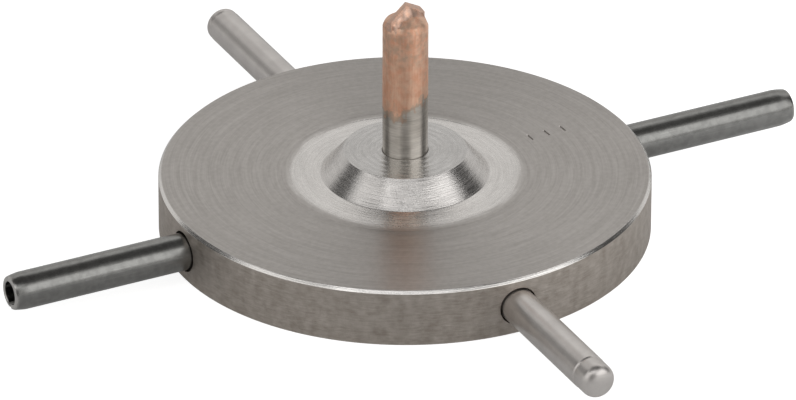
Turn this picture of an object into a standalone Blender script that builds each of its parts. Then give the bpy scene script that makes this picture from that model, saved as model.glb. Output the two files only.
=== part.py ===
"""Hand-turned centre bit in a stop disc, with two spring pins and two dowel pins for handles.

Units are metres. The origin is the centre of the disc's underside and +Z runs up the bit.
The black spring pins lie along X and the bright dowel pins lie along Y.
"""

import math

import bmesh
import bpy
from mathutils import Matrix, Vector

# Stop disc
DISC_RADIUS = 0.0410
DISC_THICKNESS = 0.0100
DISC_TOP_BREAK = 0.00050
DISC_LOW_BREAK = 0.00020
DISC_SEGMENTS = 128
BOSS_BASE_RADIUS = 0.0140
BOSS_TOP_RADIUS = 0.0103
BOSS_HEIGHT = 0.0042
BOSS_TOP_Z = DISC_THICKNESS + BOSS_HEIGHT

# Round bit, from its lower end to the shoulder under its cone
BIT_RADIUS = 0.00380
BIT_BORE_RADIUS = BIT_RADIUS + 0.00006
BIT_BORE_LOW_BREAK = 0.00030
BIT_BORE_TOP_BREAK = 0.00005
BIT_FOOT_Z = 0.0005
BIT_FOOT_BREAK = 0.0004
BIT_SHOULDER_Z = BOSS_TOP_Z + 0.0232
BIT_CONE_RADIUS = 0.00325
BIT_CONE_Z = BIT_SHOULDER_Z + 0.00095
BIT_CONE_SLOPE = math.radians(35.0)
BIT_SEGMENTS = 64

# Tip plate across the top of the bit, and the braze shim around it
TIP_AZIMUTH = math.radians(15.0)
TIP_THICKNESS = 0.0013
TIP_RADIUS = 0.00375
TIP_CHISEL_Z = BOSS_TOP_Z + 0.0272
TIP_SLOPE = math.radians(30.5)
TIP_RELIEF = math.radians(23.0)
SHIM_THICKNESS = 0.00015
SHIM_GAP = 0.00005
SHIM_RADIUS = 0.00368
SHIM_TOP_Z = BIT_SHOULDER_Z - 0.0002
SLOT_DEPTH = 0.0060
SLOT_FLOOR_Z = BIT_SHOULDER_Z - SLOT_DEPTH
SLOT_WIDTH = TIP_THICKNESS + 2 * (SHIM_THICKNESS + 2 * SHIM_GAP)

# Handle pins, radial, at half the disc's thickness
PIN_Z = DISC_THICKNESS / 2
PIN_LENGTH = 0.0500
PIN_SEGMENTS = 48
DRILL_POINT_SLOPE = math.radians(31.0)
BORE_END_AIR = 0.0008

SPRING_PIN_RADIUS = 0.00315
SPRING_PIN_HOLE_RADIUS = 0.00195
SPRING_PIN_REACH = 0.0725
SPRING_PIN_SWAGE_LENGTH = 0.0024
SPRING_PIN_SWAGE_RADIUS = 0.00285
SPRING_PIN_EDGE = 0.0003
SPRING_PIN_SLIT = 0.0009
SPRING_BORE_RADIUS = SPRING_PIN_RADIUS + 0.00005
SPRING_MOUTH_RADIUS = 0.00350

DOWEL_RADIUS = 0.00300
DOWEL_REACH = 0.0701
DOWEL_NOSE_LENGTH = 0.0043
DOWEL_NOSE_RADIUS = 0.00294
DOWEL_NOSE_ROUND = 0.0016
DOWEL_DOME_LENGTH = 0.0019
DOWEL_DOME_ROUND = 0.0014
DOWEL_GROOVE_DEPTH = 0.00012
DOWEL_GROOVE_HALF_WIDTH = 0.0003
DOWEL_BORE_RADIUS = DOWEL_RADIUS + 0.00005
DOWEL_MOUTH_RADIUS = 0.00365
BORE_MOUTH_DEPTH = 0.0014

ROUND_STEPS = 6
SHARP_ANGLE = math.radians(28.0)
CUT_MARGIN = 0.0020


def clear_scene():
    for obj in list(bpy.data.objects):
        bpy.data.objects.remove(obj, do_unlink=True)


def metal(name, color, roughness):
    material = bpy.data.materials.new(name)
    material.use_nodes = True
    shader = material.node_tree.nodes["Principled BSDF"]
    shader.inputs["Base Color"].default_value = (*color, 1.0)
    shader.inputs["Metallic"].default_value = 1.0
    shader.inputs["Roughness"].default_value = roughness
    return material


def add_object(name, bm, material=None):
    """Turns a bmesh into a named object, smooth except at its real edges."""
    bmesh.ops.remove_doubles(bm, verts=bm.verts, dist=1e-7)
    bmesh.ops.recalc_face_normals(bm, faces=bm.faces)
    mesh = bpy.data.meshes.new(name)
    bm.to_mesh(mesh)
    bm.free()
    mesh.shade_smooth()
    mesh.set_sharp_from_angle(angle=SHARP_ANGLE)
    obj = bpy.data.objects.new(name, mesh)
    bpy.context.scene.collection.objects.link(obj)
    if material:
        mesh.materials.append(material)
    return obj


def cutter(name, bm):
    obj = add_object(name, bm)
    obj.hide_render = True
    obj.display_type = "WIRE"
    return obj


def cut(obj, tool, operation="DIFFERENCE"):
    modifier = obj.modifiers.new(tool.name, "BOOLEAN")
    modifier.operation = operation
    modifier.solver = "EXACT"
    modifier.object = tool


def turned(profile, segments, closed):
    """Spins (radius, height) points about Z. A closed profile makes a ring round its bore."""
    bm = bmesh.new()
    verts = [bm.verts.new((radius, 0.0, height)) for radius, height in profile]
    edges = [bm.edges.new(pair) for pair in zip(verts, verts[1:])]
    if closed:
        edges.append(bm.edges.new((verts[-1], verts[0])))
    bmesh.ops.spin(
        bm,
        geom=verts + edges,
        cent=(0.0, 0.0, 0.0),
        axis=(0.0, 0.0, 1.0),
        angle=2 * math.pi,
        steps=segments,
        use_merge=True,
    )
    return bm


def block(size, centre, turn=0.0):
    bm = bmesh.new()
    place = Matrix.Rotation(turn, 4, "Z") @ Matrix.Translation(centre)
    bmesh.ops.create_cube(bm, size=1.0, matrix=place @ Matrix.Diagonal((*size, 1.0)))
    return bm


def corner(radius, height, size, start, end):
    """Points of a round corner about a centre, from one angle to another above the radius."""
    points = []
    for step in range(ROUND_STEPS + 1):
        angle = start + (end - start) * step / ROUND_STEPS
        points.append((radius + size * math.cos(angle), height + size * math.sin(angle)))
    return points


def point_outward(obj, azimuth, inner_radius):
    """Stands the object's own Z along a radius of the disc, from inner_radius out."""
    across = Vector((math.cos(azimuth), math.sin(azimuth), 0.0))
    obj.location = across * inner_radius + Vector((0.0, 0.0, PIN_Z))
    obj.rotation_euler = (0.0, math.pi / 2, azimuth)


def pin_bore(name, azimuth, pin_reach, bore_radius, mouth_radius):
    """Blind drilled hole with a drill point at its inner end and an opened mouth at the rim."""
    depth = DISC_RADIUS - (pin_reach - PIN_LENGTH) + BORE_END_AIR
    mouth = depth - BORE_MOUTH_DEPTH
    step = mouth_radius - bore_radius
    profile = [
        (0.0, depth + CUT_MARGIN),
        (mouth_radius, depth + CUT_MARGIN),
        (mouth_radius, mouth + step),
        (bore_radius, mouth),
        (bore_radius, 0.0),
        (0.0, -bore_radius * math.tan(DRILL_POINT_SLOPE)),
    ]
    obj = cutter(name, turned(profile, PIN_SEGMENTS, closed=False))
    point_outward(obj, azimuth, DISC_RADIUS - depth)
    return obj


def make_stop_disc():
    """Turned disc with a cone-sided boss, a bore for the bit and a blind bore for each pin."""
    profile = [
        (BOSS_TOP_RADIUS, BOSS_TOP_Z),
        (BOSS_BASE_RADIUS, DISC_THICKNESS),
        (DISC_RADIUS - DISC_TOP_BREAK, DISC_THICKNESS),
        (DISC_RADIUS, DISC_THICKNESS - DISC_TOP_BREAK),
        (DISC_RADIUS, DISC_LOW_BREAK),
        (DISC_RADIUS - DISC_LOW_BREAK, 0.0),
        (BIT_BORE_RADIUS + BIT_BORE_LOW_BREAK, 0.0),
        (BIT_BORE_RADIUS, BIT_BORE_LOW_BREAK),
        (BIT_BORE_RADIUS, BOSS_TOP_Z - BIT_BORE_TOP_BREAK),
        (BIT_BORE_RADIUS + BIT_BORE_TOP_BREAK, BOSS_TOP_Z),
    ]
    steel = metal("turned_steel", (0.38, 0.37, 0.35), 0.34)
    disc = add_object("stop_disc", turned(profile, DISC_SEGMENTS, closed=True), steel)
    for side, azimuth in (("right", 0.0), ("left", math.pi)):
        name = f"cut_bore_{side}"
        cut(disc, pin_bore(name, azimuth, SPRING_PIN_REACH, SPRING_BORE_RADIUS, SPRING_MOUTH_RADIUS))
    for side, azimuth in (("rear", math.pi / 2), ("front", -math.pi / 2)):
        name = f"cut_bore_{side}"
        cut(disc, pin_bore(name, azimuth, DOWEL_REACH, DOWEL_BORE_RADIUS, DOWEL_MOUTH_RADIUS))
    return disc


def make_bit_shank():
    """Round steel bit with a soft shoulder, a cone and a slot across it for the tip plate."""
    shoulder = BIT_RADIUS - BIT_CONE_RADIUS
    rise = BIT_CONE_Z - BIT_SHOULDER_Z
    profile = [(0.0, BIT_CONE_Z + BIT_CONE_RADIUS * math.tan(BIT_CONE_SLOPE))]
    for step in range(ROUND_STEPS, -1, -1):
        turn = math.radians(75.0) * step / ROUND_STEPS
        inward = shoulder * (1 - math.cos(turn)) / (1 - math.cos(math.radians(75.0)))
        upward = rise * math.sin(turn) / math.sin(math.radians(75.0))
        profile.append((BIT_RADIUS - inward, BIT_SHOULDER_Z + upward))
    profile += [
        (BIT_RADIUS, BIT_FOOT_Z + BIT_FOOT_BREAK),
        (BIT_RADIUS - BIT_FOOT_BREAK, BIT_FOOT_Z),
        (0.0, BIT_FOOT_Z),
    ]
    steel = metal("coppered_steel", (0.42, 0.25, 0.18), 0.42)
    bit = add_object("bit_shank", turned(profile, BIT_SEGMENTS, closed=False), steel)
    height = SLOT_DEPTH * 2
    size = (BIT_RADIUS * 3, SLOT_WIDTH, height)
    slot = block(size, (0.0, 0.0, SLOT_FLOOR_Z + height / 2), TIP_AZIMUTH)
    cut(bit, cutter("cut_tip_slot", slot))
    return bit


def plate_outline(radius, half_width):
    """Plan of a bar with parallel sides whose two ends follow a circle."""
    reach = math.asin(half_width / radius)
    points = []
    for middle in (0.0, math.pi):
        for step in range(ROUND_STEPS + 1):
            angle = middle + reach * (2 * step / ROUND_STEPS - 1)
            points.append((radius * math.cos(angle), radius * math.sin(angle)))
    return points


def upright_bar(outline, low, high):
    """Stands a plan outline up from one height to another."""
    bm = bmesh.new()
    face = bm.faces.new([bm.verts.new((x, y, low)) for x, y in outline])
    grown = bmesh.ops.extrude_face_region(bm, geom=[face], use_keep_orig=True)["geom"]
    top = [item for item in grown if isinstance(item, bmesh.types.BMVert)]
    bmesh.ops.translate(bm, verts=top, vec=(0.0, 0.0, high - low))
    return bm


def grind(bm, point, normal):
    """Takes away what lies on the normal's side of a plane, and closes the ground face."""
    everything = list(bm.verts) + list(bm.edges) + list(bm.faces)
    made = bmesh.ops.bisect_plane(
        bm, geom=everything, dist=1e-8, plane_co=point, plane_no=normal, clear_outer=True
    )
    rim = [item for item in made["geom_cut"] if isinstance(item, bmesh.types.BMEdge)]
    bmesh.ops.contextual_create(bm, geom=rim)


def make_carbide_tip():
    """Flat plate set on edge, ground to a chisel whose two flanks fall away from their lips."""
    half = TIP_THICKNESS / 2
    floor = SLOT_FLOOR_Z + 2 * SHIM_GAP + SHIM_THICKNESS
    bm = upright_bar(plate_outline(TIP_RADIUS, half), floor, TIP_CHISEL_Z + half)
    chisel = Vector((0.0, 0.0, TIP_CHISEL_Z))
    for side in (1.0, -1.0):
        flank = Vector((math.tan(TIP_SLOPE) * side, -math.tan(TIP_RELIEF) * side, 1.0))
        grind(bm, chisel, flank.normalized())
    bmesh.ops.rotate(bm, verts=bm.verts, matrix=Matrix.Rotation(TIP_AZIMUTH, 3, "Z"))
    return add_object("carbide_tip", bm, metal("coppered_carbide", (0.46, 0.28, 0.20), 0.36))


def make_braze_shim():
    """Copper foil folded to a channel between the tip plate and its slot."""
    outer = SLOT_WIDTH / 2 - SHIM_GAP
    inner = outer - SHIM_THICKNESS
    low = SLOT_FLOOR_Z + SHIM_GAP
    bm = upright_bar(plate_outline(SHIM_RADIUS, outer), low, SHIM_TOP_Z)
    bmesh.ops.rotate(bm, verts=bm.verts, matrix=Matrix.Rotation(TIP_AZIMUTH, 3, "Z"))
    shim = add_object("braze_shim", bm, metal("braze_copper", (0.62, 0.33, 0.22), 0.35))
    floor = low + SHIM_THICKNESS
    size = (BIT_RADIUS * 3, inner * 2, SLOT_DEPTH * 2)
    channel = block(size, (0.0, 0.0, floor + SLOT_DEPTH), TIP_AZIMUTH)
    cut(shim, cutter("cut_shim_channel", channel))
    return shim


def swaged_end(end, direction):
    """Outer points of a spring pin's end: the body, a drawn-in stretch and a broken edge."""
    points = [(SPRING_PIN_RADIUS, end - direction * SPRING_PIN_SWAGE_LENGTH)]
    drop = SPRING_PIN_RADIUS - SPRING_PIN_SWAGE_RADIUS
    for share in (0.35, 0.7, 1.0):
        along = SPRING_PIN_SWAGE_LENGTH - (SPRING_PIN_SWAGE_LENGTH - SPRING_PIN_EDGE) * share
        points.append((SPRING_PIN_RADIUS - drop * share**1.5, end - direction * along))
    points.append((SPRING_PIN_SWAGE_RADIUS - SPRING_PIN_EDGE, end))
    return points


def make_spring_pin(name, azimuth, material):
    """Rolled tube with drawn-in ends and one slit along its whole length, facing down."""
    outside = swaged_end(PIN_LENGTH, 1.0)[::-1] + swaged_end(0.0, -1.0)
    inside = [(SPRING_PIN_HOLE_RADIUS, 0.0), (SPRING_PIN_HOLE_RADIUS, PIN_LENGTH)]
    pin = add_object(name, turned(outside + inside, PIN_SEGMENTS, closed=True), material)
    point_outward(pin, azimuth, SPRING_PIN_REACH - PIN_LENGTH)
    size = (SPRING_PIN_RADIUS * 2, SPRING_PIN_SLIT, PIN_LENGTH + 2 * CUT_MARGIN)
    slit = cutter(f"cut_slit_{name}", block(size, (SPRING_PIN_RADIUS, 0.0, PIN_LENGTH / 2)))
    slit.parent = pin
    cut(pin, slit)
    return pin


def rounded_end(radius, length, size, end, direction):
    """Outer points of a dowel's end: the body, a fine ring groove, the nose and its round."""
    groove = end - direction * length
    points = [
        (DOWEL_RADIUS, groove - direction * DOWEL_GROOVE_HALF_WIDTH),
        (DOWEL_RADIUS - DOWEL_GROOVE_DEPTH, groove),
        (radius, groove + direction * DOWEL_GROOVE_HALF_WIDTH),
    ]
    for along, up in corner(0.0, 0.0, size, 0.0, math.pi / 2):
        points.append((radius - size + along, end - direction * (size - up)))
    points.append((0.0, end))
    return points


def make_dowel_pin(name, azimuth, nose_outward, material):
    """Ground dowel with a long nose at one end and a short dome at the other."""
    nose = (DOWEL_NOSE_RADIUS, DOWEL_NOSE_LENGTH, DOWEL_NOSE_ROUND)
    dome = (DOWEL_NOSE_RADIUS, DOWEL_DOME_LENGTH, DOWEL_DOME_ROUND)
    outer, inner = (nose, dome) if nose_outward else (dome, nose)
    profile = rounded_end(*outer, PIN_LENGTH, 1.0)[::-1] + rounded_end(*inner, 0.0, -1.0)
    pin = add_object(name, turned(profile, PIN_SEGMENTS, closed=False), material)
    point_outward(pin, azimuth, DOWEL_REACH - PIN_LENGTH)
    return pin


def main():
    clear_scene()
    make_stop_disc()
    make_bit_shank()
    make_carbide_tip()
    make_braze_shim()
    black = metal("black_oxide_steel", (0.06, 0.06, 0.058), 0.38)
    make_spring_pin("spring_pin_right", 0.0, black)
    make_spring_pin("spring_pin_left", math.pi, black.copy())
    bright = metal("ground_steel", (0.45, 0.43, 0.41), 0.3)
    make_dowel_pin("dowel_pin_rear", math.pi / 2, False, bright)
    make_dowel_pin("dowel_pin_front", -math.pi / 2, True, bright.copy())


main()
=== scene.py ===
import math

import bmesh
import bpy
from mathutils import Euler, Matrix, Vector, noise


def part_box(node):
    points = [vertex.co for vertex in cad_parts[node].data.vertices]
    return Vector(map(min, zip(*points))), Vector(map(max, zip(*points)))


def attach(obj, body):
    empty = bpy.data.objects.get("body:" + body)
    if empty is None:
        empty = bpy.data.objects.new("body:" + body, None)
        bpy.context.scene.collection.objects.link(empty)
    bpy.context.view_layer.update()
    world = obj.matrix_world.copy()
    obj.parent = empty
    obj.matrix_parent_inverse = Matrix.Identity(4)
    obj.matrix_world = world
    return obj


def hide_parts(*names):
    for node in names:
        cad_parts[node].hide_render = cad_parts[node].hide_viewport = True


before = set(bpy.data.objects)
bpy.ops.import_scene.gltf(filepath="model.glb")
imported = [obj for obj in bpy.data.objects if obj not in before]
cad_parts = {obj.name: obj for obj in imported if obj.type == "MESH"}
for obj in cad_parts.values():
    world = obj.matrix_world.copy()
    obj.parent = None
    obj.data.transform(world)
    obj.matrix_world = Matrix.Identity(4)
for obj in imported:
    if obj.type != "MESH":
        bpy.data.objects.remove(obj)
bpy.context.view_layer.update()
print("frame loaded:", ", ".join(sorted(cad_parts)))

mm = 0.001
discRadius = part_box("stop_disc")[1].x
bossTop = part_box("stop_disc")[1].z
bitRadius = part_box("bit_shank")[1].x
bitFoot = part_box("bit_shank")[0].z
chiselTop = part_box("carbide_tip")[1].z
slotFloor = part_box("carbide_tip")[0].z
pinHeight = sum(corner.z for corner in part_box("dowel_pin_front")) / 2

# node helpers


def maths(tree, operation, first, second=None):
    made = tree.nodes.new("ShaderNodeMath")
    made.operation = operation
    for place, value in enumerate((first, second)):
        if isinstance(value, (int, float)):
            made.inputs[place].default_value = value
        elif value is not None:
            tree.links.new(value, made.inputs[place])
    return made.outputs[0]


def ramp(tree, value, low, high, toLow=0.0, toHigh=1.0):
    made = tree.nodes.new("ShaderNodeMapRange")
    made.interpolation_type = "SMOOTHSTEP"
    tree.links.new(value, made.inputs["Value"])
    ends = (("From Min", low), ("From Max", high), ("To Min", toLow), ("To Max", toHigh))
    for name, number in ends:
        if isinstance(number, (int, float)):
            made.inputs[name].default_value = number
        else:
            tree.links.new(number, made.inputs[name])
    return made.outputs["Result"]


def mixed(tree, factor, first, second):
    made = tree.nodes.new("ShaderNodeMix")
    made.data_type = "RGBA"
    for place, value in ((0, factor), (6, first), (7, second)):
        if isinstance(value, (int, float)):
            made.inputs[place].default_value = value
        elif isinstance(value, tuple):
            made.inputs[place].default_value = (*value, 1.0)
        else:
            tree.links.new(value, made.inputs[place])
    return made.outputs[2]


def cloudy(tree, point, scale, detail=3.0):
    texture = tree.nodes.new("ShaderNodeTexNoise")
    texture.inputs["Detail"].default_value = detail
    for name, value in (("Vector", point), ("Scale", scale)):
        if isinstance(value, (int, float)):
            texture.inputs[name].default_value = value
        else:
            tree.links.new(value, texture.inputs[name])
    return texture.outputs["Fac"]


def howFarAlong(tree, point, heading):
    made = tree.nodes.new("ShaderNodeVectorMath")
    made.operation = "DOT_PRODUCT"
    made.inputs[1].default_value = heading
    tree.links.new(point, made.inputs[0])
    return made.outputs["Value"]


# camera, lights and floor

cameraSettings = {
    "place": (-0.66822, -1.31146, 0.81395),
    "turn": (61.193, -0.136, -26.880),
    "lens": 456.6,
    "sensor": 36.0,
    "clip": (0.05, 30.0),
}
partTurn = 27.0  # degrees from the viewer's side of the part to its own front
lightSettings = {
    # azimuth and elevation seen from the part, distance, width, height, power
    "left softbox": (-60.0, 36.0, 1.1, 1.10, 0.74, 0.80),
    "right softbox": (60.0, 31.0, 1.1, 1.10, 0.74, 2.15),
    "front softbox": (-6.0, 60.0, 1.2, 0.90, 0.46, 1.20),
    "rear softbox": (164.0, 46.0, 1.2, 1.10, 0.42, 0.45),
}
surroundings = {
    "sides": 0.64, "overhead": 0.10, "overheadFrom": (0.74, 0.88), "seen": 1.0,
    "tint": (1.0, 0.985, 0.965),
    # dark gaps between the softboxes: azimuth, elevation, half width, how dark
    "gaps": ((0.0, 20.0, 28.0, 0.75), (-105.0, 28.0, 23.0, 0.92), (108.0, 27.0, 27.0, 0.92)),
    "floorSize": 6.0, "paper": 0.55, "paperRoughness": 0.9, "paperShine": 0.1,
    # the paper glows white to the viewer and stays a soft grey in the metal's reflections
    "paperGlow": 0.70, "paperLift": 0.14,
    # painted light: the paper glows brighter to the right, standing in for light from that side: from
    # and to what distance, and by how much
    "lean": (0.01, 0.10, 0.32),
}


def makeCamera():
    data = bpy.data.cameras.new("camera")
    data.sensor_width = cameraSettings["sensor"]
    data.lens = cameraSettings["lens"]
    data.clip_start, data.clip_end = cameraSettings["clip"]
    camera = bpy.data.objects.new("camera", data)
    bpy.context.scene.collection.objects.link(camera)
    camera.location = cameraSettings["place"]
    camera.rotation_euler = [math.radians(angle) for angle in cameraSettings["turn"]]
    bpy.context.scene.camera = camera


def towards(azimuth, elevation):
    # azimuth nought is the viewer's side of the part, and it grows to the right
    turn, rise = math.radians(azimuth - partTurn), math.radians(elevation)
    flat = math.cos(rise)
    return Vector((math.sin(turn) * flat, -math.cos(turn) * flat, math.sin(rise)))


def makeLights():
    for name, (azimuth, elevation, away, width, height, power) in lightSettings.items():
        data = bpy.data.lights.new(name, "AREA")
        data.shape = "RECTANGLE"
        data.size, data.size_y, data.energy = width, height, power
        light = bpy.data.objects.new(name, data)
        bpy.context.scene.collection.objects.link(light)
        toLight = towards(azimuth, elevation)
        light.location = toLight * away
        light.rotation_euler = (-toLight).to_track_quat("-Z", "Y").to_euler()
        light.visible_camera = False


def makeSurroundings():
    s = surroundings
    world = bpy.data.worlds.new("studio")
    bpy.context.scene.world = world
    world.use_nodes = True
    tree = world.node_tree
    background = tree.nodes["Background"]
    background.inputs["Color"].default_value = (*s["tint"], 1.0)
    direction = tree.nodes.new("ShaderNodeTexCoord").outputs["Generated"]
    split = tree.nodes.new("ShaderNodeSeparateXYZ")
    tree.links.new(direction, split.inputs[0])
    strength = ramp(tree, split.outputs[2], *s["overheadFrom"], s["sides"], s["overhead"])
    for azimuth, elevation, wide, dark in s["gaps"]:
        nearness = howFarAlong(tree, direction, towards(azimuth, elevation))
        edge, core = math.cos(math.radians(wide)), math.cos(math.radians(wide * 0.5))
        shade = ramp(tree, nearness, edge, core, 1.0, 1.0 - dark)
        strength = maths(tree, "MULTIPLY", strength, shade)
    path = tree.nodes.new("ShaderNodeLightPath")
    choose = tree.nodes.new("ShaderNodeMix")
    choose.inputs["B"].default_value = s["seen"]
    tree.links.new(path.outputs["Is Camera Ray"], choose.inputs["Factor"])
    tree.links.new(strength, choose.inputs["A"])
    tree.links.new(choose.outputs["Result"], background.inputs["Strength"])


def makeFloor():
    s = surroundings
    bm = bmesh.new()
    bmesh.ops.create_grid(bm, x_segments=2, y_segments=2, size=s["floorSize"] / 2)
    mesh = bpy.data.meshes.new("floor")
    bm.to_mesh(mesh)
    bm.free()
    floor = bpy.data.objects.new("floor", mesh)
    bpy.context.scene.collection.objects.link(floor)
    paper = bpy.data.materials.new("white paper")
    paper.use_nodes = True
    tree = paper.node_tree
    shader = tree.nodes["Principled BSDF"]
    shader.inputs["Base Color"].default_value = (*[s["paper"]] * 3, 1.0)
    shader.inputs["Roughness"].default_value = s["paperRoughness"]
    shader.inputs["Specular IOR Level"].default_value = s["paperShine"]
    shader.inputs["Emission Color"].default_value = (1.0, 1.0, 1.0, 1.0)
    point = tree.nodes.new("ShaderNodeTexCoord").outputs["Object"]
    # painted light: extra glow on the paper towards the right
    near, far, most = s["lean"]
    toRight = howFarAlong(tree, point, towards(90.0, 0.0))
    lift = ramp(tree, toRight, near, far, s["paperLift"], s["paperLift"] + most)
    path = tree.nodes.new("ShaderNodeLightPath")
    glow = maths(tree, "MULTIPLY", path.outputs["Is Camera Ray"], s["paperGlow"])
    tree.links.new(maths(tree, "ADD", glow, lift), shader.inputs["Emission Strength"])
    mesh.materials.append(paper)


makeCamera()
makeLights()
makeSurroundings()
makeFloor()
bpy.context.scene.view_settings.view_transform = "Standard"
print("camera, lights and floor ready")

# mesh helpers


def softened(points, steps=3):
    # each corner is (radius, height, rounding); a rounding of nought stays sharp
    out = []
    for i, (across, up, size) in enumerate(points):
        here = Vector((across, up))
        if not size or i in (0, len(points) - 1):
            out.append(here)
            continue
        before = (Vector(points[i - 1][:2]) - here).normalized()
        after = (Vector(points[i + 1][:2]) - here).normalized()
        half = before.angle(after) / 2
        centre = here + (before + after).normalized() * size / math.sin(half)
        first = here + before * size / math.tan(half) - centre
        last = here + after * size / math.tan(half) - centre
        out += [centre + first.slerp(last, step / steps) * size for step in range(steps + 1)]
    return out


def filled(points, longest):
    # adds points along each straight stretch that is longer than the given length
    out = [points[0]]
    for start, end in zip(points, points[1:]):
        parts = max(1, math.ceil((end - start).length / longest))
        out += [start.lerp(end, step / parts) for step in range(1, parts + 1)]
    return out


def lathe(profile, turns, closed=False):
    bm = bmesh.new()
    verts = [bm.verts.new((across, 0.0, up)) for across, up in profile]
    edges = [bm.edges.new(pair) for pair in zip(verts, verts[1:])]
    if closed:
        edges.append(bm.edges.new((verts[-1], verts[0])))
    bmesh.ops.spin(bm, geom=verts + edges, axis=(0, 0, 1), cent=(0, 0, 0),
                   angle=2 * math.pi, steps=turns, use_merge=True)
    bmesh.ops.remove_doubles(bm, verts=bm.verts, dist=0.0001 * mm)
    bmesh.ops.recalc_face_normals(bm, faces=bm.faces)
    return bm


def slab(size, centre):
    bm = bmesh.new()
    place = Matrix.Translation(centre) @ Matrix.Diagonal((*size, 1.0))
    bmesh.ops.create_cube(bm, size=1.0, matrix=place)
    return bm


def asObject(name, bm, materials=()):
    mesh = bpy.data.meshes.new(name)
    bm.to_mesh(mesh)
    bm.free()
    for material in materials:
        mesh.materials.append(material)
    piece = bpy.data.objects.new(name, mesh)
    bpy.context.scene.collection.objects.link(piece)
    return piece


def joined(name, meshes):
    whole = bmesh.new()
    for bm in meshes:
        mesh = bpy.data.meshes.new(name)
        bm.to_mesh(mesh)
        bm.free()
        whole.from_mesh(mesh)
        bpy.data.meshes.remove(mesh)
    return asObject(name, whole)


def carve(piece, tool):
    change = piece.modifiers.new("carve", "BOOLEAN")
    change.operation = "DIFFERENCE"
    change.solver = "MANIFOLD"
    change.object = tool
    graph = bpy.context.evaluated_depsgraph_get()
    made = bpy.data.meshes.new_from_object(piece.evaluated_get(graph))
    piece.modifiers.clear()
    piece.data = made
    bpy.data.objects.remove(tool, do_unlink=True)


def smooth(piece, degrees=30.0):
    piece.data.shade_smooth()
    piece.data.set_sharp_from_angle(angle=math.radians(degrees))


def outward(azimuth, inner):
    # stands a piece's own Z along a radius of the disc, from the inner distance out
    across = Vector((math.cos(azimuth), math.sin(azimuth), 0.0)) * inner
    turn = Euler((0.0, math.pi / 2, azimuth)).to_matrix().to_4x4()
    return Matrix.Translation(across + Vector((0.0, 0.0, pinHeight))) @ turn


# node groups


def newGroup(name, inputs, outputs):
    group = bpy.data.node_groups.new(name, "ShaderNodeTree")
    group.interface.new_socket("Point", in_out="INPUT", socket_type="NodeSocketVector")
    for label, value in inputs.items():
        socket = group.interface.new_socket(label, in_out="INPUT", socket_type="NodeSocketFloat")
        socket.default_value = value
    for label in outputs:
        group.interface.new_socket(label, in_out="OUTPUT", socket_type="NodeSocketFloat")
    start = group.nodes.new("NodeGroupInput")
    end = group.nodes.new("NodeGroupOutput")
    return group, start.outputs, end.inputs


def useGroup(tree, group, point, values):
    made = tree.nodes.new("ShaderNodeGroup")
    made.node_tree = group
    tree.links.new(point, made.inputs["Point"])
    for label, value in values.items():
        made.inputs[label].default_value = value
    return made.outputs


# effects that several materials share

# the part of each noise's range that is spread over nought to one
spread = {
    "rings": (0.28, 0.72), "grain": (0.25, 0.75), "lengthwise": (0.35, 0.7),
}
nearAxis = 0.2 * mm  # closer than this the rings stop turning with the angle
scuffShare = 3.0  # how much larger a scuff is than a line


def turningMarks():
    # rings round the piece's own Z: Fine for the tool's feed, Broad for slow changes of tone
    group, given, out = newGroup(
        "turning marks", {"Fine pitch": 0.0003, "Broad pitch": 0.002, "Break up": 1.0},
        ["Fine", "Broad", "Radius"])
    split = group.nodes.new("ShaderNodeSeparateXYZ")
    group.links.new(given["Point"], split.inputs[0])
    x, y, z = split.outputs
    squares = maths(group, "ADD", maths(group, "MULTIPLY", x, x), maths(group, "MULTIPLY", y, y))
    radius = maths(group, "SQRT", squares)
    away = maths(group, "MAXIMUM", radius, nearAxis)
    path = maths(group, "SUBTRACT", radius, z)
    for label, pitch in (("Fine", "Fine pitch"), ("Broad", "Broad pitch")):
        place = group.nodes.new("ShaderNodeCombineXYZ")
        group.links.new(maths(group, "DIVIDE", path, given[pitch]), place.inputs[0])
        for socket, side in ((1, x), (2, y)):
            heading = maths(group, "DIVIDE", side, away)
            group.links.new(maths(group, "MULTIPLY", heading, given["Break up"]), place.inputs[socket])
        rings = ramp(group, cloudy(group, place.outputs[0], 1.0), *spread["rings"])
        group.links.new(rings, out[label])
    group.links.new(radius, out["Radius"])
    return group


def blotches():
    # soft patches a few millimetres across, and a fine grain
    group, given, out = newGroup(
        "blotches", {"Patch size": 0.004, "Grain size": 0.0004, "Low": 0.35, "High": 0.65},
        ["Patches", "Grain"])
    patches = cloudy(group, given["Point"], maths(group, "DIVIDE", 1.0, given["Patch size"]), 4.0)
    grain = cloudy(group, given["Point"], maths(group, "DIVIDE", 1.0, given["Grain size"]), 2.0)
    group.links.new(ramp(group, patches, given["Low"], given["High"]), out["Patches"])
    group.links.new(ramp(group, grain, *spread["grain"]), out["Grain"])
    return group


def lengthMarks():
    # scuffs and fine lines along the piece's own Z
    group, given, out = newGroup(
        "length marks", {"Across": 0.0003, "Along": 0.006}, ["Lines", "Scuffs"])
    split = group.nodes.new("ShaderNodeSeparateXYZ")
    group.links.new(given["Point"], split.inputs[0])
    for label, share in (("Lines", 1.0), ("Scuffs", scuffShare)):
        place = group.nodes.new("ShaderNodeCombineXYZ")
        for socket, pitch in ((0, "Across"), (1, "Across"), (2, "Along")):
            length = maths(group, "MULTIPLY", given[pitch], share)
            group.links.new(maths(group, "DIVIDE", split.outputs[socket], length), place.inputs[socket])
        marks = ramp(group, cloudy(group, place.outputs[0], 1.0), *spread["lengthwise"])
        group.links.new(marks, out[label])
    return group


turning = turningMarks()
patchy = blotches()
lengthwise = lengthMarks()
print("shared effects built")


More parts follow.
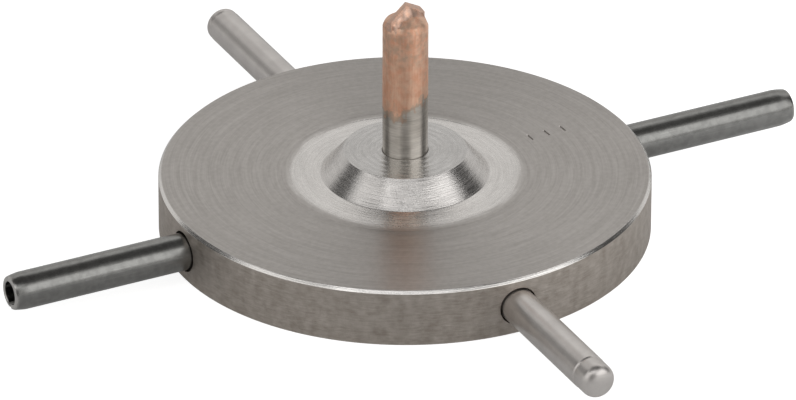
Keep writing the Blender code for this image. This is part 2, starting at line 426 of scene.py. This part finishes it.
def newMetal(name, settings):
    material = bpy.data.materials.new(name)
    material.use_nodes = True
    tree = material.node_tree
    shader = tree.nodes["Principled BSDF"]
    shader.inputs["Metallic"].default_value = 1.0
    shader.inputs["Anisotropic"].default_value = settings["anisotropy"]
    shader.inputs["Anisotropic Rotation"].default_value = settings["grooveTurn"]
    tangent = tree.nodes.new("ShaderNodeTangent")
    tangent.direction_type = "RADIAL"
    tangent.axis = "Z"
    tree.links.new(tangent.outputs[0], shader.inputs["Tangent"])
    point = tree.nodes.new("ShaderNodeTexCoord").outputs["Object"]
    return material, tree, shader, point


def addBump(tree, shader, height, depth):
    bump = tree.nodes.new("ShaderNodeBump")
    bump.inputs["Distance"].default_value = depth
    tree.links.new(height, bump.inputs["Height"])
    tree.links.new(bump.outputs[0], shader.inputs["Normal"])


# stop disc

faceFinish = {
    "anisotropy": 0.75, "grooveTurn": 0.25, "roughness": (0.30, 0.42), "depth": 0.014 * mm,
    "marks": {"Fine pitch": 0.24 * mm, "Broad pitch": 0.8 * mm, "Break up": 3.0},
    "patches": {"Patch size": 0.9 * mm, "Grain size": 0.25 * mm}, "weights": (0.32, 0.46, 0.22),
    "dark": (0.385, 0.362, 0.342), "light": (0.54, 0.515, 0.492),
    # inside the first radius the face is freshly cut, and it fades out by the second
    "fresh": (18.7 * mm, 20.6 * mm),
    "wander": 0.8 * mm, "darkShare": 0.75,
    "freshDark": (0.66, 0.64, 0.62), "freshLight": (0.86, 0.835, 0.81), "freshRoughness": 0.72,
    # out to each of these edges the boss face and the cone have tones of their own
    "bossEdge": (10.25 * mm, 10.35 * mm), "bossTone": (0.68, 0.665, 0.65),
    "coneEdge": (14.0 * mm, 14.3 * mm), "coneTone": (0.79, 0.765, 0.745),
    # painted highlight: the chamfer gets a brighter tone all round, standing in for the highlight line
    # along its top edge, and a lower roughness
    "rubsAndHighlight": (discRadius - 0.56 * mm, discRadius - 0.40 * mm), "chamferHighlightTone": (0.84, 0.82, 0.795),
    "chamferRoughness": 0.50,
}
rimFinish = {
    "anisotropy": 0.30, "grooveTurn": 0.25, "roughness": (0.40, 0.55), "depth": 0.020 * mm,
    "marks": {"Fine pitch": 0.30 * mm, "Broad pitch": 4.0 * mm, "Break up": 22.0},
    "patches": {"Patch size": 1.3 * mm, "Grain size": 0.22 * mm, "Low": 0.15, "High": 0.85},
    "weights": (0.22, 0.34, 0.44),
    "dark": (0.335, 0.29, 0.25), "light": (0.60, 0.555, 0.51),
}


grainShare = 0.4  # how high the grain stands beside the grooves


def shaded(tree, tone, colour, share):
    return mixed(tree, tone, tuple(share * part for part in colour), colour)


def makeTurnedMetal(name, settings):
    material, tree, shader, point = newMetal(name, settings)
    marks = useGroup(tree, turning, point, settings["marks"])
    patches = useGroup(tree, patchy, point, settings["patches"])
    broad, fine, cloud = settings["weights"]
    tone = maths(tree, "MULTIPLY", marks["Broad"], broad)
    tone = maths(tree, "ADD", tone, maths(tree, "MULTIPLY", marks["Fine"], fine))
    tone = maths(tree, "ADD", tone, maths(tree, "MULTIPLY", patches["Patches"], cloud))
    colour = mixed(tree, tone, settings["dark"], settings["light"])
    low, high = settings["roughness"]
    uneven = maths(tree, "MULTIPLY", maths(tree, "ADD", marks["Fine"], patches["Grain"]), 0.5)
    rough = ramp(tree, uneven, 0.0, 1.0, low, high)
    if "fresh" in settings:
        wander = maths(tree, "MULTIPLY", marks["Broad"], settings["wander"])
        edge = maths(tree, "ADD", marks["Radius"], wander)
        fresh = ramp(tree, edge, *settings["fresh"], 1.0, 0.0)
        cut = mixed(tree, tone, settings["freshDark"], settings["freshLight"])
        for zone in ("cone", "boss"):
            inside = ramp(tree, marks["Radius"], *settings[zone + "Edge"], 1.0, 0.0)
            own = shaded(tree, tone, settings[zone + "Tone"], settings["darkShare"])
            cut = mixed(tree, inside, cut, own)
        colour = mixed(tree, fresh, colour, cut)
        # painted highlight: the chamfer band is mixed to a brighter tone than the face
        rubsAndHighlight = ramp(tree, marks["Radius"], *settings["rubsAndHighlight"])
        colour = mixed(tree, rubsAndHighlight, colour, settings["chamferHighlightTone"])
        finer = ramp(tree, fresh, 0.0, 1.0, 1.0, settings["freshRoughness"])
        rough = maths(tree, "MULTIPLY", rough, finer)
        polished = ramp(tree, rubsAndHighlight, 0.0, 1.0, 1.0, settings["chamferRoughness"])
        rough = maths(tree, "MULTIPLY", rough, polished)
    tree.links.new(colour, shader.inputs["Base Color"])
    tree.links.new(rough, shader.inputs["Roughness"])
    grain = maths(tree, "MULTIPLY", patches["Grain"], grainShare)
    addBump(tree, shader, maths(tree, "ADD", marks["Fine"], grain), settings["depth"])
    return material


discSettings = {
    "turns": 224,
    "thickness": 10.0 * mm,
    "bossFootRadius": 14.0 * mm,
    "bossTopRadius": 10.3 * mm,
    "bitBoreRadius": 3.86 * mm,
    "topBreak": 0.50 * mm,
    "lowBreak": 0.12 * mm,
    "cutRadius": 19.1 * mm,
    "cutDepth": 0.04 * mm,
    "scoreRadius": 20.5 * mm,
    "scoreDepth": 0.03 * mm,
    # the waves that the tool left on the boss: depth, pitch and how many points draw them
    "waves": (0.034 * mm, 1.25 * mm, 40),
    "edgeRound": 0.06 * mm,
    "lineWidth": 0.12 * mm,
    "underStepRadius": 12.0 * mm,
    "smallStep": 0.05 * mm,  # the step under the disc and the broken edge of the bore
    "rimFrom": 0.3 * mm,
}
boreSettings = {
    # azimuth, inner end of the bore, bore radius, mouth radius
    "right": (0.0, 21.7 * mm, 3.20 * mm, 3.50 * mm),
    "left": (math.pi, 21.7 * mm, 3.20 * mm, 3.50 * mm),
    "rear": (math.pi / 2, 19.3 * mm, 3.05 * mm, 3.30 * mm),
    "front": (-math.pi / 2, 19.3 * mm, 3.05 * mm, 3.30 * mm),
    "turns": 72,
    "mouthDepth": 1.4 * mm,
    "past": 3 * mm,
    "drillSlope": math.radians(31.0),
}
punchSettings = {
    "azimuth": math.radians(3.0), "radii": (24.1 * mm, 27.3 * mm, 30.4 * mm),
    "length": 2.2 * mm, "width": 0.34 * mm, "depth": 0.28 * mm,
    "above": 0.3 * mm, "endFlare": 0.12 * mm, "keelShare": 0.78,
}


def boreTool(azimuth, inner, radius, mouth):
    depth = discRadius - inner
    step = depth - boreSettings["mouthDepth"]
    past = depth + boreSettings["past"]
    profile = [(0.0, past), (mouth, past), (mouth, step + (mouth - radius)),
               (radius, step), (radius, 0.0), (0.0, -radius * math.tan(boreSettings["drillSlope"]))]
    bm = lathe(profile, boreSettings["turns"])
    bm.transform(outward(azimuth, inner))
    return bm


def punchTool(radius):
    # a wedge-shaped bar with slanting ends, as a chisel punch leaves it
    s = punchSettings
    long, wide, short = s["length"] / 2, s["width"] / 2, s["length"] / 2 * s["keelShare"]
    top, foot = discSettings["thickness"] + s["above"], discSettings["thickness"] - s["depth"]
    grow = 1 + s["above"] / s["depth"]
    bm = bmesh.new()
    ring = [(-long, -wide), (long, -wide), (long, wide), (-long, wide)]
    upper = [bm.verts.new((radius + y * grow, x + math.copysign(s["endFlare"], x) * (grow - 1), top))
             for x, y in ring]
    keel = [bm.verts.new((radius, x, foot)) for x in (-short, short)]
    bm.faces.new(upper)
    bm.faces.new((upper[0], upper[1], keel[1], keel[0]))
    bm.faces.new((upper[2], upper[3], keel[0], keel[1]))
    bm.faces.new((upper[1], upper[2], keel[1]))
    bm.faces.new((upper[3], upper[0], keel[0]))
    bmesh.ops.recalc_face_normals(bm, faces=bm.faces)
    bm.transform(Matrix.Rotation(s["azimuth"], 4, "Z"))
    return bm


def makeDisc():
    s = discSettings
    top, cut, score = s["thickness"], s["cutDepth"], s["scoreDepth"]
    bore, rim, line, soft = s["bitBoreRadius"], discRadius, s["lineWidth"], s["edgeRound"]
    small = s["smallStep"]
    outline = [(bore, 0.3 * mm, 0), (bore, bossTop - small, 0), (bore + small, bossTop, 0)]
    waves, pitch, count = s["waves"]
    for step in range(1, count + 1):
        radius = bore + 0.1 * mm + (s["bossTopRadius"] - bore - 0.4 * mm) * step / count
        dip = waves * (0.5 - 0.5 * math.cos(math.tau * (radius - bore) / pitch))
        outline.append((radius, bossTop - dip, 0))
    outline += [
        (s["bossTopRadius"], bossTop, 0.10 * mm), (s["bossFootRadius"], top - cut, 0.25 * mm),
        (s["cutRadius"], top - cut, 0.02 * mm), (s["cutRadius"] + line, top, 0.03 * mm),
        (s["scoreRadius"] - line, top, 0), (s["scoreRadius"], top - score, 0),
        (s["scoreRadius"] + line, top, 0), (rim - s["topBreak"], top, soft),
        (rim, top - s["topBreak"], soft), (rim, s["lowBreak"], 0.05 * mm),
        (rim - s["lowBreak"], 0.0, 0.05 * mm), (s["underStepRadius"], 0.0, 0),
        (s["underStepRadius"] - 0.1 * mm, small, 0), (bore + 0.3 * mm, small, 0)]
    profile = filled(softened(outline), 2.0 * mm)
    materials = [makeTurnedMetal("turned face", faceFinish), makeTurnedMetal("dull rim", rimFinish)]
    disc = asObject("disc", lathe(profile, s["turns"], closed=True), materials)
    tools = [boreTool(*boreSettings[side]) for side in ("right", "left", "rear", "front")]
    tools += [punchTool(radius) for radius in punchSettings["radii"]]
    carve(disc, joined("cutters", tools))
    for face in disc.data.polygons:
        onRim = s["rimFrom"] < face.center.z < top - s["topBreak"]
        face.material_index = int(onRim and face.center.xy.length > bore + 0.1 * mm)
    smooth(disc, 24.0)
    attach(disc, "disc")
    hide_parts("stop_disc")


makeDisc()
print("stop disc made")

# bit, its tip plate and the braze

bitSettings = {
    "turns": 128,
    "coneSteps": 24,
    "coneFoot": bossTop + 24.15 * mm,
    "coneRadius": 3.25 * mm,
    "coneSlope": math.radians(35.0),
    # the shoulder falls away this far outside the cone, along a curve this steep
    "shoulderDrop": (0.95 * mm, 1.6),
    "footBreak": 0.4 * mm,
    "longestEdge": 0.22 * mm,
    # the copper's lower edge, as azimuth in degrees and height above the boss in mm
    "copperFoot": ((-180, 7.6), (-150, 7.3), (-130, 7.3), (-117, 8.0), (-98, 9.5), (-75, 10.3),
                   (-40, 10.1), (0, 9.0), (60, 8.2), (120, 8.6), (180, 7.6)),
    "copperThickness": 0.025 * mm,
    # how far that edge wanders, how fine and how wide it fades out
    "wander": (0.9 * mm, 700, 2.1 * mm),
    "swell": (0.75, 0.5, 1300),
}
tipSettings = {
    "azimuth": math.radians(15.0),
    "thickness": 1.3 * mm,
    "radius": 3.75 * mm,
    "slope": math.radians(30.5),
    "relief": math.radians(23.0),
    "edge": 0.05 * mm,
    "sharpFrom": math.radians(35.0),
}
beadSettings = {
    "reach": 3.45 * mm, "height": 0.68 * mm, "width": 0.95 * mm,
    "points": (56, 8), "uneven": (0.45, 900),
    # how deep it starts inside the plate, and how clear it stays of the bit's side and the flanks
    "under": 0.05 * mm, "sideGap": 0.04 * mm, "flankGap": 0.08 * mm,
    "sink": 0.02 * mm, "depth": 0.35 * mm,
}
shankFinish = {
    "anisotropy": 0.60, "grooveTurn": 0.25,
    "marks": {"Fine pitch": 0.12 * mm, "Broad pitch": 0.9 * mm, "Break up": 1.2},
    "patches": {"Patch size": 1.6 * mm, "Grain size": 0.15 * mm},
    "drips": {"Across": 0.35 * mm, "Along": 3.0 * mm},
    "steelDark": (0.50, 0.47, 0.425), "steelLight": (0.82, 0.785, 0.73),
    "copperDark": (0.86, 0.475, 0.315), "copperLight": (1.0, 0.675, 0.50),
    # how ragged the patches and drips make the edge, and between which values it turns to copper
    "ragged": (0.35, 0.25, 0.30), "edge": (0.28, 0.80),
    # brown stains, thickest above the two heights and along the copper's lower edge
    "stain": (0.52, 0.40, 0.31), "stainSize": 1.1 * mm, "stainReach": (0.30, 0.72),
    "stainFrom": (bossTop + 15.0 * mm, bossTop + 20.0 * mm), "stainShares": (0.16, 0.55, 0.60),
    "steelRoughness": 0.30, "copperRoughness": (0.40, 0.56), "depth": 0.010 * mm, "grooves": 0.35,
}
tipFinish = {
    "anisotropy": 0.0, "grooveTurn": 0.0,
    "patches": {"Patch size": 1.0 * mm, "Grain size": 0.12 * mm, "Low": 0.40, "High": 0.60},
    "copperDark": (0.66, 0.39, 0.28), "copperLight": (0.90, 0.60, 0.455),
    "carbide": (0.46, 0.42, 0.39), "bareShare": 0.35, "roughness": (0.34, 0.46), "depth": 0.004 * mm,
}


def copperFootAt(angle):
    degrees = (math.degrees(angle) + 180.0) % 360.0 - 180.0
    steps = bitSettings["copperFoot"]
    for (first, low), (last, high) in zip(steps, steps[1:]):
        if first <= degrees <= last:
            share = (degrees - first) / (last - first)
            share = share * share * (3 - 2 * share)
            return bossTop + (low + (high - low) * share) * mm
    return bossTop


def coneHeight(radius):
    if radius < bitSettings["coneRadius"]:
        rise = (bitSettings["coneRadius"] - radius) * math.tan(bitSettings["coneSlope"])
        return bitSettings["coneFoot"] + rise
    share = (radius - bitSettings["coneRadius"]) / (bitRadius - bitSettings["coneRadius"])
    drop, steep = bitSettings["shoulderDrop"]
    return bitSettings["coneFoot"] - drop * min(1.0, share) ** steep


def makeShankMetal():
    s = shankFinish
    material, tree, shader, point = newMetal("brazed shank", s)
    marks = useGroup(tree, turning, point, s["marks"])
    patches = useGroup(tree, patchy, point, s["patches"])
    drips = useGroup(tree, lengthwise, point, s["drips"])
    cover = tree.nodes.new("ShaderNodeAttribute")
    cover.attribute_name = "copper"
    byPatches, byDrips, middle = s["ragged"]
    ragged = maths(tree, "ADD", maths(tree, "MULTIPLY", patches["Patches"], byPatches),
                   maths(tree, "MULTIPLY", drips["Scuffs"], byDrips))
    covered = maths(tree, "ADD", cover.outputs["Fac"], maths(tree, "SUBTRACT", ragged, middle))
    covered = ramp(tree, covered, *s["edge"])
    bare = maths(tree, "SUBTRACT", 1.0, covered)
    steelTone = maths(tree, "MULTIPLY", maths(tree, "ADD", marks["Fine"], marks["Broad"]), 0.5)
    steel = mixed(tree, steelTone, s["steelDark"], s["steelLight"])
    copperTone = maths(tree, "MULTIPLY", maths(tree, "ADD", patches["Patches"], drips["Lines"]), 0.5)
    copper = mixed(tree, copperTone, s["copperDark"], s["copperLight"])
    height = tree.nodes.new("ShaderNodeSeparateXYZ")
    tree.links.new(point, height.inputs[0])
    few, many, along = s["stainShares"]
    most = ramp(tree, height.outputs[2], *s["stainFrom"], few, many)
    clouds = cloudy(tree, point, 1.0 / s["stainSize"], 4.0)
    stained = ramp(tree, clouds, *s["stainReach"], 0.0, most)
    copper = mixed(tree, stained, copper, s["stain"])
    both = mixed(tree, covered, steel, copper)
    edge = maths(tree, "MULTIPLY", maths(tree, "MULTIPLY", covered, bare), 4.0 * along)
    both = mixed(tree, edge, both, s["stain"])
    tree.links.new(both, shader.inputs["Base Color"])
    low, high = s["copperRoughness"]
    rough = ramp(tree, patches["Patches"], 0.0, 1.0, high, low)
    rough = maths(tree, "ADD", maths(tree, "MULTIPLY", covered, rough),
                  maths(tree, "MULTIPLY", bare, s["steelRoughness"]))
    tree.links.new(rough, shader.inputs["Roughness"])
    lumps = maths(tree, "MULTIPLY", covered, maths(tree, "ADD", patches["Grain"], patches["Patches"]))
    grooves = maths(tree, "MULTIPLY", marks["Fine"], s["grooves"])
    addBump(tree, shader, maths(tree, "ADD", lumps, grooves), s["depth"])
    return material


def makeTipMetal():
    s = tipFinish
    material, tree, shader, point = newMetal("brazed tip", s)
    patches = useGroup(tree, patchy, point, s["patches"])
    copper = mixed(tree, patches["Grain"], s["copperDark"], s["copperLight"])
    bare = maths(tree, "MULTIPLY", patches["Patches"], s["bareShare"])
    tree.links.new(mixed(tree, bare, copper, s["carbide"]), shader.inputs["Base Color"])
    low, high = s["roughness"]
    tree.links.new(ramp(tree, patches["Grain"], 0.0, 1.0, low, high), shader.inputs["Roughness"])
    addBump(tree, shader, maths(tree, "ADD", patches["Grain"], patches["Patches"]), s["depth"])
    return material


def makeBit():
    s = bitSettings
    tip = s["coneFoot"] + s["coneRadius"] * math.tan(s["coneSlope"])
    outline = [Vector((0.0, tip))]
    for step in range(1, s["coneSteps"] + 1):
        radius = bitRadius * step / s["coneSteps"]
        outline.append(Vector((radius, coneHeight(radius))))
    outline += [Vector((bitRadius, bitFoot + s["footBreak"])),
                Vector((bitRadius - s["footBreak"], bitFoot)), Vector((0.0, bitFoot))]
    profile = filled(outline, s["longestEdge"])
    bit = asObject("bit", lathe(profile, s["turns"]), [makeShankMetal()])
    cover = bit.data.attributes.new("copper", "FLOAT", "POINT")
    reach, fine, fade = s["wander"]
    low, more, bumps = s["swell"]
    for i, vert in enumerate(bit.data.vertices):
        spot = vert.co.copy()
        wander = noise.fractal(spot * fine, 1.0, 2.0, 4) * reach
        share = (spot.z - copperFootAt(math.atan2(spot.y, spot.x)) - wander) / fade
        share = max(0.0, min(1.0, share * 0.5 + 0.5))
        cover.data[i].value = share
        if spot.z > bossTop:
            # the bare steel lies under the copper's full thickness
            normal = Vector((spot.x, spot.y, 0.0)).normalized()
            swell = low + more * noise.noise(spot * bumps)
            vert.co -= normal * s["copperThickness"] * (1 - share * swell)
    smooth(bit, 40.0)
    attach(bit, "disc")
    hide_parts("bit_shank")


def plateOutline(radius, halfWidth, steps=10):
    reach = math.asin(halfWidth / radius)
    angles = [middle + reach * (2 * step / steps - 1)
              for middle in (0.0, math.pi) for step in range(steps + 1)]
    return [(radius * math.cos(angle), radius * math.sin(angle)) for angle in angles]


def flankHeight(along, across):
    s = tipSettings
    return chiselTop - abs(math.tan(s["slope"]) * along - math.tan(s["relief"]) * across)


def makeTip():
    s = tipSettings
    half = s["thickness"] / 2
    bm = bmesh.new()
    face = bm.faces.new([bm.verts.new((x, y, slotFloor)) for x, y in plateOutline(s["radius"], half)])
    grown = bmesh.ops.extrude_face_region(bm, geom=[face], use_keep_orig=True)["geom"]
    upper = [item for item in grown if isinstance(item, bmesh.types.BMVert)]
    bmesh.ops.translate(bm, verts=upper, vec=(0.0, 0.0, chiselTop + half - slotFloor))
    for side in (1.0, -1.0):
        flank = Vector((math.tan(s["slope"]) * side, -math.tan(s["relief"]) * side, 1.0)).normalized()
        everything = list(bm.verts) + list(bm.edges) + list(bm.faces)
        made = bmesh.ops.bisect_plane(bm, geom=everything, dist=1e-8, clear_outer=True,
                                      plane_co=(0.0, 0.0, chiselTop), plane_no=flank)
        edge = [item for item in made["geom_cut"] if isinstance(item, bmesh.types.BMEdge)]
        bmesh.ops.contextual_create(bm, geom=edge)
    bmesh.ops.recalc_face_normals(bm, faces=bm.faces)
    sharp = [edge for edge in bm.edges if edge.calc_face_angle(0.0) > s["sharpFrom"]]
    bmesh.ops.bevel(bm, geom=sharp, offset=s["edge"], segments=2, profile=0.5, affect="EDGES")
    bmesh.ops.triangulate(bm, faces=[face for face in bm.faces if len(face.verts) > 4])
    bm.transform(Matrix.Rotation(s["azimuth"], 4, "Z"))
    tip = asObject("tip_plate", bm, [makeTipMetal()])
    smooth(tip, 24.0)
    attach(tip, "disc")
    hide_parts("carbide_tip")
    return tip.data.materials[0]


def makeBraze(material):
    # a hollow-faced bead of braze in each corner between the plate and the cone
    s = beadSettings
    lengths, widths = s["points"]
    ripple, fine = s["uneven"]
    half, row = tipSettings["thickness"] / 2, widths + 1
    bm = bmesh.new()
    for side in (1.0, -1.0):
        tops, feet = [], []
        for i in range(lengths + 1):
            along = (i / lengths * 2 - 1) * s["reach"]
            uneven = 1 + ripple * noise.noise(Vector((along * fine, side * 3.0, 0.0)))
            for j in range(row):
                share = j / widths
                across = half - s["under"] + s["width"] * uneven * share
                limit = math.sqrt(max(0.0, (bitRadius - s["sideGap"]) ** 2 - along ** 2))
                across = min(across, limit)
                floor = coneHeight(math.hypot(along, across))
                crown = s["height"] * uneven * (1 - share) ** 2
                height = min(floor + crown, flankHeight(along, across * side) - s["flankGap"])
                height = max(height, floor - s["sink"])
                tops.append(bm.verts.new((along, across * side, height)))
                feet.append(bm.verts.new((along, across * side, floor - s["depth"])))
        for i in range(lengths):
            for j in range(widths):
                corners = [i * row + j, (i + 1) * row + j, (i + 1) * row + j + 1, i * row + j + 1]
                bm.faces.new([tops[k] for k in corners])
                bm.faces.new([feet[k] for k in reversed(corners)])
        edge = list(range(row)) + [i * row + widths for i in range(1, lengths + 1)]
        edge += [lengths * row + j for j in range(widths - 1, -1, -1)]
        edge += [i * row for i in range(lengths - 1, 0, -1)]
        for first, second in zip(edge, edge[1:] + edge[:1]):
            bm.faces.new((tops[first], tops[second], feet[second], feet[first]))
    bmesh.ops.recalc_face_normals(bm, faces=bm.faces)
    bm.transform(Matrix.Rotation(tipSettings["azimuth"], 4, "Z"))
    braze = asObject("braze_bead", bm, [material])
    smooth(braze, 50.0)
    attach(braze, "disc")
    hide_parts("braze_shim")


makeBit()
makeBraze(makeTip())
print("bit, tip plate and braze made")

# handle pins

longestStretch = 2.5 * mm  # between rings of points along a pin
springSettings = {
    "turns": 96, "length": 50.0 * mm, "reach": 72.5 * mm, "radius": 3.15 * mm, "hole": 1.95 * mm,
    "endLength": 2.4 * mm, "endRadius": 2.85 * mm, "edge": 0.3 * mm, "slit": 0.9 * mm,
    # how many steps draw the drawn-in end, how its curve steepens, where its edge is broken
    "endSteps": 8, "endCurve": 1.5, "edgeShare": 0.35,
    "holeBreak": 0.12 * mm, "wornLip": 0.45 * mm,
}
dowelSettings = {
    "turns": 96, "length": 50.0 * mm, "reach": 70.1 * mm, "radius": 3.0 * mm,
    "endRadius": 2.94 * mm, "groove": (0.13 * mm, 0.32 * mm),
    "domeSteps": 24,
    # how far the groove is from the end, how long the dome is and how full
    "nose": (4.3 * mm, 2.1 * mm, 2.5), "dome": (1.9 * mm, 1.2 * mm, 2.5),
}
oxideFinish = {
    "anisotropy": 0.0, "grooveTurn": 0.0, "roughness": (0.22, 0.26), "depth": 0.0015 * mm,
    "patches": {"Patch size": 1.2 * mm, "Grain size": 0.12 * mm},
    "scuffs": {"Across": 0.25 * mm, "Along": 6.0 * mm},
    # how bare the lips are, which lines show as rubs and how strongly
    "lipWear": 0.45, "rubs": (0.75, 1.0, 0.10),
    "dark": (0.235, 0.235, 0.227), "light": (0.28, 0.279, 0.27), "bare": (0.60, 0.59, 0.57),
}
groundFinish = {
    "anisotropy": 0.25, "grooveTurn": 0.25, "roughness": (0.33, 0.37), "depth": 0.0006 * mm,
    "marks": {"Fine pitch": 0.12 * mm, "Broad pitch": 3.0 * mm, "Break up": 0.8},
    "patches": {"Patch size": 4.0 * mm, "Grain size": 0.3 * mm}, "weights": (0.35, 0.20, 0.45),
    "dark": (0.62, 0.59, 0.57), "light": (0.74, 0.71, 0.685),
}


def makeOxide():
    s = oxideFinish
    material, tree, shader, point = newMetal("black oxide", s)
    patches = useGroup(tree, patchy, point, s["patches"])
    scuffs = useGroup(tree, lengthwise, point, s["scuffs"])
    colour = mixed(tree, patches["Patches"], s["dark"], s["light"])
    wear = tree.nodes.new("ShaderNodeAttribute")
    wear.attribute_name = "wear"
    uneven = maths(tree, "ADD", patches["Grain"], s["lipWear"])
    worn = maths(tree, "MULTIPLY", wear.outputs["Fac"], uneven)
    low, high, most = s["rubs"]
    rubsAndHighlight = ramp(tree, scuffs["Lines"], low, high, 0.0, most)
    tree.links.new(mixed(tree, maths(tree, "ADD", worn, rubsAndHighlight), colour, s["bare"]),
                   shader.inputs["Base Color"])
    low, high = s["roughness"]
    tree.links.new(ramp(tree, patches["Grain"], 0.0, 1.0, low, high), shader.inputs["Roughness"])
    addBump(tree, shader, maths(tree, "ADD", patches["Grain"], scuffs["Lines"]), s["depth"])
    return material


def swagedEnd(end, direction):
    s = springSettings
    drop = s["radius"] - s["endRadius"]
    points = [(s["radius"], end - direction * s["endLength"], 0)]
    for step in range(1, s["endSteps"] + 1):
        share = step / s["endSteps"]
        along = s["endLength"] - (s["endLength"] - s["edge"]) * share
        points.append((s["radius"] - drop * share ** s["endCurve"], end - direction * along, 0))
    broken = s["edge"] * s["edgeShare"]
    points.append((s["endRadius"] - broken, end - direction * broken, 0))
    points.append((s["endRadius"] - s["edge"], end, 0))
    return points


def makeSpringPin(name, node, azimuth, material):
    s = springSettings
    hole, long, soft = s["hole"], s["length"], s["holeBreak"]
    outline = swagedEnd(long, 1.0)[::-1] + swagedEnd(0.0, -1.0)
    outline += [(hole + soft, 0.0, 0), (hole, soft, 0), (hole, long - soft, 0), (hole + soft, long, 0)]
    profile = filled([Vector(point[:2]) for point in outline], longestStretch)
    pin = asObject(name, lathe(profile, s["turns"], closed=True), [material])
    slit = slab((s["radius"] * 2, s["slit"], long + 4 * mm), (s["radius"], 0.0, long / 2))
    carve(pin, asObject("slit", slit))
    wear = pin.data.attributes.new("wear", "FLOAT", "POINT")
    for i, vert in enumerate(pin.data.vertices):
        fromEnd = min(vert.co.z, long - vert.co.z)
        outside = vert.co.xy.length > hole + 0.05 * mm
        wear.data[i].value = min(1.0, max(0.0, 1 - fromEnd / s["wornLip"]) * outside)
    smooth(pin, 26.0)
    pin.matrix_world = outward(azimuth, s["reach"] - long)
    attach(pin, "disc")
    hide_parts(node)


def makeDowel(name, node, body, azimuth, outer, inner, material):
    s = dowelSettings
    long, radius, narrow = s["length"], s["radius"], s["endRadius"]
    depth, half = s["groove"]

    def endPoints(shape, end, direction):
        length, dome, full = shape
        groove = end - direction * length
        points = [(radius, groove - direction * half, 0.03 * mm), (radius - depth, groove, 0.05 * mm),
                  (narrow, groove + direction * half, 0.03 * mm)]
        for step in range(s["domeSteps"]):
            turn = math.pi / 2 * step / s["domeSteps"]
            across = narrow * math.cos(turn) ** (2 / full)
            along = dome * (1 - math.sin(turn) ** (2 / full))
            points.append((across, end - direction * along, 0))
        return points + [(0.0, end, 0)]

    outline = endPoints(outer, long, 1.0)[::-1] + endPoints(inner, 0.0, -1.0)
    profile = filled(softened(outline, 10), longestStretch)
    pin = asObject(name, lathe(profile, s["turns"]), [material])
    smooth(pin, 30.0)
    pin.matrix_world = outward(azimuth, s["reach"] - long)
    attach(pin, body)
    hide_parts(node)


oxide = makeOxide()
ground = makeTurnedMetal("ground dowel", groundFinish)
makeSpringPin("spring_pin_a", "spring_pin_right", 0.0, oxide)
makeSpringPin("spring_pin_b", "spring_pin_left", math.pi, oxide)
nose, dome = dowelSettings["nose"], dowelSettings["dome"]
makeDowel("dowel_a", "dowel_pin_rear", "rear_dowel", math.pi / 2, dome, nose, ground)
makeDowel("dowel_b", "dowel_pin_front", "front_dowel", -math.pi / 2, nose, dome, ground)
print("handle pins made")

bpy.context.view_layer.update()
